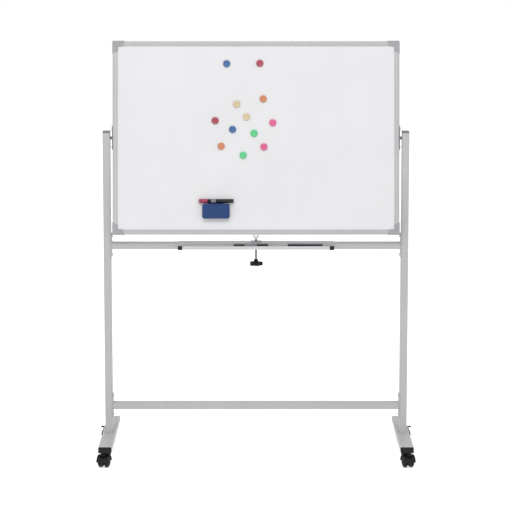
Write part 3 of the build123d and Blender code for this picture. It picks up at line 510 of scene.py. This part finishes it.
for name, body_finish, cap_finish, cap_slot, band in MARKERS:
    cap_low, cap_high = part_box(f"{name}_cap")
    barrel_low, barrel_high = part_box(f"{name}_barrel")
    outward = Vector(joints[f"{name}_uncap"]["axis"])
    centre = (cap_low + cap_high) / 2
    size = cap_high - cap_low
    tip = centre + outward * size.x / 2
    place = facing(tip, -outward)
    cap_length = size.x / MM
    cap_radius = size.z / 2 / MM
    barrel_radius = (barrel_high.z - barrel_low.z) / 2 / MM
    total = (max(barrel_high.x, cap_high.x) - min(barrel_low.x, cap_low.x)) / MM

    grip_start, grip_end = (cap_length * share for share in CAP_GRIP)
    bore_radius = barrel_radius - CAP_WALL
    bore_end = cap_length * CAP_BORE_SHARE
    edge_centre = (CAP_EDGE_HEIGHT, cap_radius - CAP_EDGE_RADIUS)
    profile = CAP_TOP + [(CAP_TOP_HEIGHT, cap_radius - CAP_TOP_MARGIN)]
    profile += arc(edge_centre, CAP_EDGE_RADIUS, 180, 90, 5)
    profile += [(grip_start - CAP_GRIP_STEP, cap_radius), (grip_start, cap_radius)]
    profile += [(grip_end, cap_radius)]
    profile += [(grip_end + CAP_GRIP_STEP, cap_radius), (cap_length - CAP_GRIP_STEP, cap_radius)]
    profile += [(cap_length, cap_radius - CAP_MOUTH_CHAMFER), (cap_length, bore_radius)]
    profile += [(bore_end, bore_radius), (bore_end, 0)]
    bm = bmesh.new()
    lathe(bm, profile, place, segments=96, radius_at=ribbed_between(grip_start, grip_end))
    piece = add_piece(f"{name}_cap_shell", bm, [cap_finish], f"{name}_cap", cap_slot, smooth=40)
    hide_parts(f"{name}_cap")

    front = cap_length + CAP_GAP
    body_end = total - PLUG_LENGTH
    neck_radius = barrel_radius - NECK_STEP
    profile = NIB + [(NECK_START, neck_radius), (front, neck_radius)]
    profile += [(front, barrel_radius - BARREL_CHAMFER), (front + BARREL_CHAMFER_LENGTH, barrel_radius)]
    profile += [(body_end, barrel_radius)]
    bm = bmesh.new()
    lathe(bm, profile, place)
    groove_end = body_end + PLUG_GROOVE_WIDTH
    groove_radius = barrel_radius - PLUG_GROOVE
    plug_radius = barrel_radius - PLUG_STEP
    profile = [(body_end, barrel_radius), (body_end, groove_radius), (groove_end, groove_radius)]
    profile += [(groove_end, plug_radius)]
    edge_centre = (total - PLUG_EDGE_RADIUS, plug_radius - PLUG_EDGE_RADIUS)
    profile += arc(edge_centre, PLUG_EDGE_RADIUS, 90, 0, 5)
    profile += [(total - depth, radius) for depth, radius in PLUG_END]
    lathe(bm, profile, place)
    if band is not None:
        start, end = (front + (body_end - front) * share for share in band)
        root, top = barrel_radius - BAND_ROOT, barrel_radius + BAND_RISE
        lathe(bm, [(start, root), (start, top), (end, top), (end, root)], place, material=1)
    finishes = [body_finish, label_pale]
    piece = add_piece(f"{name}_barrel_shell", bm, finishes, name, "marker_black", smooth=40)
    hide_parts(f"{name}_barrel")


# Caster wheels: hard tread with a groove, a stepped and dished face and a hub cap. The profile
# runs outward from the caster's middle, as (distance along the axle, radius)
WHEEL_PROFILE = (
    (7.35, 3.1), (7.35, 20.5), (7.9, 23.2), (9.0, 24.5), (10.6, 24.95),
    (12.4, 24.95), (12.7, 24.45), (13.3, 24.45), (13.6, 24.95),
    (15.5, 24.95), (17.6, 24.1), (19.6, 22.6), (21.3, 20.6), (22.2, 19.2),
    (21.6, 18.8), (21.6, 17.9), (23.0, 17.2), (24.4, 13.8), (25.5, 10.2), (26.1, 7.8),
    (25.5, 7.4), (25.5, 6.8), (26.4, 6.3), (26.8, 4.2), (26.9, 2.0), (26.9, 0),
)
for caster in casters:
    hub = Vector(joints[f"{caster}_wheel_roll"]["pos_m"])
    bm = bmesh.new()
    for points in islands(f"{caster}_wheels"):
        outward = middle(points)[0] - hub
        outward.z = 0
        lathe(bm, WHEEL_PROFILE, facing(hub, outward), segments=72)
    body = f"{caster}_wheelset"
    piece = add_piece(f"{caster}_wheel_pair", bm, [wheel_black], body, "wheel_plastic", smooth=30)
    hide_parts(f"{caster}_wheels")


# Clamp rod: an M8 thread
THREAD_PITCH = 1.25
THREAD_DEPTH = 0.65
THREAD_STEPS = 6
rod_low, rod_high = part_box("clamp_rod")
rod_radius = (rod_high.x - rod_low.x) / 2 / MM
rod_length = (rod_high.z - rod_low.z) / MM


def threaded(height, radius, angle):
    phase = (height / MM / THREAD_PITCH - angle / (2 * math.pi)) % 1.0
    return radius - THREAD_DEPTH * MM * abs(2 * phase - 1)


steps = int(rod_length / THREAD_PITCH * THREAD_STEPS)
rod_profile = [(rod_length * step / steps, rod_radius) for step in range(steps + 1)]
bm = bmesh.new()
lathe(bm, [(0, 0)] + rod_profile + [(rod_length, 0)], Matrix.Translation((0, 0, rod_low.z)),
      segments=24, radius_at=threaded)
piece = add_piece("threaded_rod", bm, [dark_steel], "clamp_screw", "zinc_steel", smooth=20)
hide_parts("clamp_rod")


# Knob: five rounded lobes, a raised hub and a dished underside. The profiles are (height, radius)
# over a lobe's tip: the lobes from below, the shoulder from the lobes' top, the hub from its top
KNOB_LOBES = 5
LOBE_HEIGHT = 16.0
LOBE_TIP = 28.6
LOBE_VALLEY = 20.5
LOBE_FULLNESS = 1.6
HUB_RADIUS = 11.5
KNOB_BASE = [
    (3.0, 0), (3.0, 11.0), (1.2, 12.5), (0.2, 20.0), (0.2, 24.5),
    (0.9, 26.8), (2.2, 28.1), (4.0, 28.6),
]
KNOB_SHOULDER = [
    (-4.5, 28.6), (-2.4, 28.1), (-0.9, 26.4), (-0.1, 23.5),
    (0.0, 18.0), (0.0, 12.5), (0.8, 10.2), (2.5, 9.4),
]
KNOB_HUB = [(-1.4, 8.2), (-0.2, 7.4), (-0.05, 6.5), (-0.05, 4.05), (-3.0, 4.05)]
knob_low, knob_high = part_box("clamp_knob")
knob_height = (knob_high.z - knob_low.z) / MM


def lobed(height, radius, angle):
    if radius <= HUB_RADIUS * MM:
        return radius
    wave = 0.5 + 0.5 * math.cos(KNOB_LOBES * angle)
    shape = LOBE_VALLEY + (LOBE_TIP - LOBE_VALLEY) * (1 - (1 - wave) ** LOBE_FULLNESS)
    return radius * shape / LOBE_TIP


knob_profile = KNOB_BASE + [(LOBE_HEIGHT + rise, radius) for rise, radius in KNOB_SHOULDER]
knob_profile += [(knob_height + rise, radius) for rise, radius in KNOB_HUB]
bm = bmesh.new()
lathe(bm, knob_profile, Matrix.Translation((0, 0, knob_low.z)), segments=120, radius_at=lobed)
piece = add_piece("star_knob", bm, [black_plastic], "clamp_screw", "black_plastic", smooth=50)
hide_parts("clamp_knob")


# Bolts: domed heads with a hexagonal socket, and plain shanks
SHANK_RADIUS = 3.95
SHANK_END = [(0.05, 0), (0.05, 3.3), (0.8, SHANK_RADIUS)]
HEAD_HEIGHT = 4.5
HEAD_DOME = [(0.0, 6.9), (0.5, 6.95), (2.0, 6.3), (3.4, 5.1)]
HEAD_TOP_GAP = 0.1
HEAD_FLAT = 3.6
SOCKET_RADIUS = 2.6
SOCKET_DEPTH = 2.4
SOCKET_POINT = 0.4


def socketed(height, radius, angle):
    """Six flats inside the socket's radius, and a circle outside it."""
    if radius > SOCKET_RADIUS * MM * 1.01:
        return radius
    sector = (angle % (math.pi / 3)) - math.pi / 6
    return radius * math.cos(math.pi / 6) / math.cos(sector)


bm = bmesh.new()
for points in islands("frame_bolts"):
    centre, size = middle(points)
    longest = max(range(3), key=lambda i: size[i])
    axis = Vector((0, 0, 0))
    axis[longest] = 1.0
    widths = {True: 0.0, False: 0.0}
    for point in points:
        offset = point - centre
        ahead = offset.dot(axis) > 0
        widths[ahead] = max(widths[ahead], offset.cross(axis).length)
    outward = axis if widths[True] > widths[False] else -axis
    reach = size[longest] / 2 / MM
    head = reach - HEAD_HEIGHT
    top = reach - HEAD_TOP_GAP
    floor_depth = reach - SOCKET_DEPTH
    profile = [(height - reach, radius) for height, radius in SHANK_END] + [(head, SHANK_RADIUS)]
    profile += [(head + rise, radius) for rise, radius in HEAD_DOME]
    profile += [(top, HEAD_FLAT), (top, SOCKET_RADIUS), (floor_depth, SOCKET_RADIUS)]
    profile += [(floor_depth - SOCKET_POINT, 0)]
    lathe(bm, profile, facing(centre, outward), segments=36, radius_at=socketed)
piece = add_piece("socket_bolts", bm, [zinc], "stand", "zinc_steel", smooth=35)
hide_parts("frame_bolts")


# Weld beads where the crossbars meet their end plates
TUBE_CORNER = 3.0
CORNER_STEPS = 6
BEAD_RADIUS = 1.9
BEAD_STEPS = 90
BEAD_SIDES = 8
BEAD_RIPPLE = 0.28
RIPPLE_STEPS = 3.0


def tube_outline(half_depth, half_height):
    """A tube's rounded outline round X, as a closed list of points in millimetres."""
    y, z = half_depth - TUBE_CORNER, half_height - TUBE_CORNER
    points = []
    for centre_y, centre_z, start in ((y, z, 0), (-y, z, 90), (-y, -z, 180), (y, -z, 270)):
        points += [Vector((0, b, c)) for b, c in
                   arc((centre_y, centre_z), TUBE_CORNER, start, start + 90, CORNER_STEPS)]
    return points + points[:1]


def evenly_along(outline, count):
    """Evenly spaced points on a closed outline, each with its direction."""
    lengths = [(b - a).length for a, b in zip(outline, outline[1:])]
    total = sum(lengths)
    for step in range(count):
        target = total * step / count
        k = 0
        while target > lengths[k]:
            target -= lengths[k]
            k += 1
        along = (outline[k + 1] - outline[k]).normalized()
        yield outline[k] + along * target, along


for bar in ("upper_crossbar", "lower_crossbar"):
    bar_low, bar_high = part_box(bar)
    bar_middle = (bar_low + bar_high) / 2
    bar_half = (bar_high - bar_low) / 2 / MM
    outline = tube_outline(bar_half.y, bar_half.z)
    for side, end in ((1, bar_high.x), (-1, bar_low.x)):
        bm = bmesh.new()
        rings = []
        for step, (point, along) in enumerate(evenly_along(outline, BEAD_STEPS)):
            outward = Vector((0, along.z, -along.y))
            swell = BEAD_RADIUS + BEAD_RIPPLE * math.sin(2 * math.pi * step / RIPPLE_STEPS)
            ring = []
            for turn in range(BEAD_SIDES):
                angle = 2 * math.pi * turn / BEAD_SIDES
                out = outward * (swell * math.cos(angle))
                out += Vector((-side * swell * math.sin(angle), 0, 0))
                where = (point + out) * MM
                x = min(max(end + where.x, bar_low.x), bar_high.x)
                ring.append(bm.verts.new((x, bar_middle.y + where.y, bar_middle.z + where.z)))
            rings.append(ring)
        for i, ring in enumerate(rings):
            following = rings[(i + 1) % BEAD_STEPS]
            for turn in range(BEAD_SIDES):
                turned = (turn + 1) % BEAD_SIDES
                bm.faces.new((ring[turn], ring[turned], following[turned], following[turn]))
        end_name = "right" if side > 0 else "left"
        add_piece(f"{bar}_weld_{end_name}", bm, [powder], "stand", "powder_coat", smooth=80)


# Eraser felt: ten fuzzy strips under the case
FELT_STRIPS = 10
FELT_GAP = 1.6
FELT_INSET = 0.4
FELT_END_INSET = 4.0
FELT_SIDE_GAP = 0.2
FELT_LIFT = 0.1
FELT_CUTS = 7
FELT_FUZZ = 0.35
FUZZ_SCALE = 1.7
FUZZ_FACE = 0.2
felt_low, felt_high = board_extent([vert.co for vert in nodes["eraser_felt"].data.vertices])
strip_pitch = (felt_high.x - felt_low.x + FELT_GAP) / FELT_STRIPS
bm = bmesh.new()
for strip in range(FELT_STRIPS):
    left = felt_low.x + strip * strip_pitch
    trim = FELT_END_INSET if strip in (0, FELT_STRIPS - 1) else FELT_INSET
    low = Vector((left + FELT_SIDE_GAP, felt_low.y + trim, felt_low.z + FELT_LIFT))
    high = Vector((left + strip_pitch - FELT_GAP, felt_high.y - trim, felt_high.z))
    made = bmesh.ops.create_cube(bm, size=1.0)
    for vert in made["verts"]:
        vert.co = Vector([low[i] + (vert.co[i] + 0.5) * (high[i] - low[i]) for i in range(3)])
bmesh.ops.subdivide_edges(bm, edges=bm.edges[:], cuts=FELT_CUTS, use_grid_fill=True)
for vert in bm.verts:
    fuzz = noise.noise_vector(vert.co * FUZZ_SCALE) * FELT_FUZZ
    fuzz.z = min(fuzz.z, 0) if vert.co.z > felt_high.z - FUZZ_FACE else max(fuzz.z, 0)
    vert.co += fuzz
    vert.co.y = max(vert.co.y, felt_low.y)
    vert.co = board_place @ (vert.co * MM)
piece = add_piece("felt_strips", bm, [felt], "eraser", "eraser_felt", smooth=180)
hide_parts("eraser_felt")


# Floor and world: both look white to the camera and light the part less than they seem to
FLOOR_SIZE = 30.0
FLOOR_WHITE = 0.85
FLOOR_GLOW = 0.55
WORLD_LIGHT = 0.80
WORLD_SEEN = 1.0
stage_graph = Graph("stage_white")
stage_inputs = stage_graph.shader.inputs
stage_inputs["Base Color"].default_value = (FLOOR_WHITE, FLOOR_WHITE, FLOOR_WHITE, 1)
stage_inputs["Roughness"].default_value = 0.9
stage_inputs["Specular IOR Level"].default_value = 0.0
path = stage_graph.node("ShaderNodeLightPath")
seen = stage_graph.node("ShaderNodeMath", "MAXIMUM")
stage_graph.link(path.outputs["Is Camera Ray"], seen.inputs[0])
stage_graph.link(path.outputs["Is Glossy Ray"], seen.inputs[1])
seen_all = stage_graph.node("ShaderNodeMath", "MAXIMUM")
stage_graph.link(seen.outputs[0], seen_all.inputs[0])
stage_graph.link(path.outputs["Is Transmission Ray"], seen_all.inputs[1])
glow = stage_graph.node("ShaderNodeMath", "MULTIPLY")
glow.inputs[1].default_value = FLOOR_GLOW
stage_graph.link(seen_all.outputs[0], glow.inputs[0])
stage_inputs["Emission Color"].default_value = (1, 1, 1, 1)
stage_graph.link(glow.outputs[0], stage_inputs["Emission Strength"])

floor_mesh = bpy.data.meshes.new("floor")
half = FLOOR_SIZE / 2
floor_corners = [(-half, -half, 0), (half, -half, 0), (half, half, 0), (-half, half, 0)]
floor_mesh.from_pydata(floor_corners, [], [(0, 1, 2, 3)])
floor = bpy.data.objects.new("floor", floor_mesh)
floor_mesh.materials.append(stage_graph.material)
scene.collection.objects.link(floor)

world = bpy.data.worlds.new("world")
scene.world = world
world.use_nodes = True
tree = world.node_tree
background = tree.nodes["Background"]
background.inputs["Color"].default_value = (1, 1, 1, 1)
world_path = tree.nodes.new("ShaderNodeLightPath")
world_seen = tree.nodes.new("ShaderNodeMath")
world_seen.operation = "MAXIMUM"
tree.links.new(world_path.outputs["Is Camera Ray"], world_seen.inputs[0])
tree.links.new(world_path.outputs["Is Transmission Ray"], world_seen.inputs[1])
level = tree.nodes.new("ShaderNodeMapRange")
level.inputs["To Min"].default_value = WORLD_LIGHT
level.inputs["To Max"].default_value = WORLD_SEEN
tree.links.new(world_seen.outputs[0], level.inputs["Value"])
tree.links.new(level.outputs["Result"], background.inputs["Strength"])

# Lights: name, place, target, width and height, power in watts
LIGHTS = (
    ("key", (-0.3, -5.0, 5.8), (0, 0, 0.9), (4.5, 1.6), 150),
    ("fill", (-0.6, -6.5, 1.2), (0, 0, 0.8), (3.5, 2.0), 25),
)
for name, place, target, size, power in LIGHTS:
    data = bpy.data.lights.new(name, "AREA")
    data.shape = "RECTANGLE"
    data.size, data.size_y = size
    data.energy = power
    light = bpy.data.objects.new(name, data)
    light.location = place
    light.rotation_euler = (Vector(target) - Vector(place)).to_track_quat("-Z", "Y").to_euler()
    scene.collection.objects.link(light)
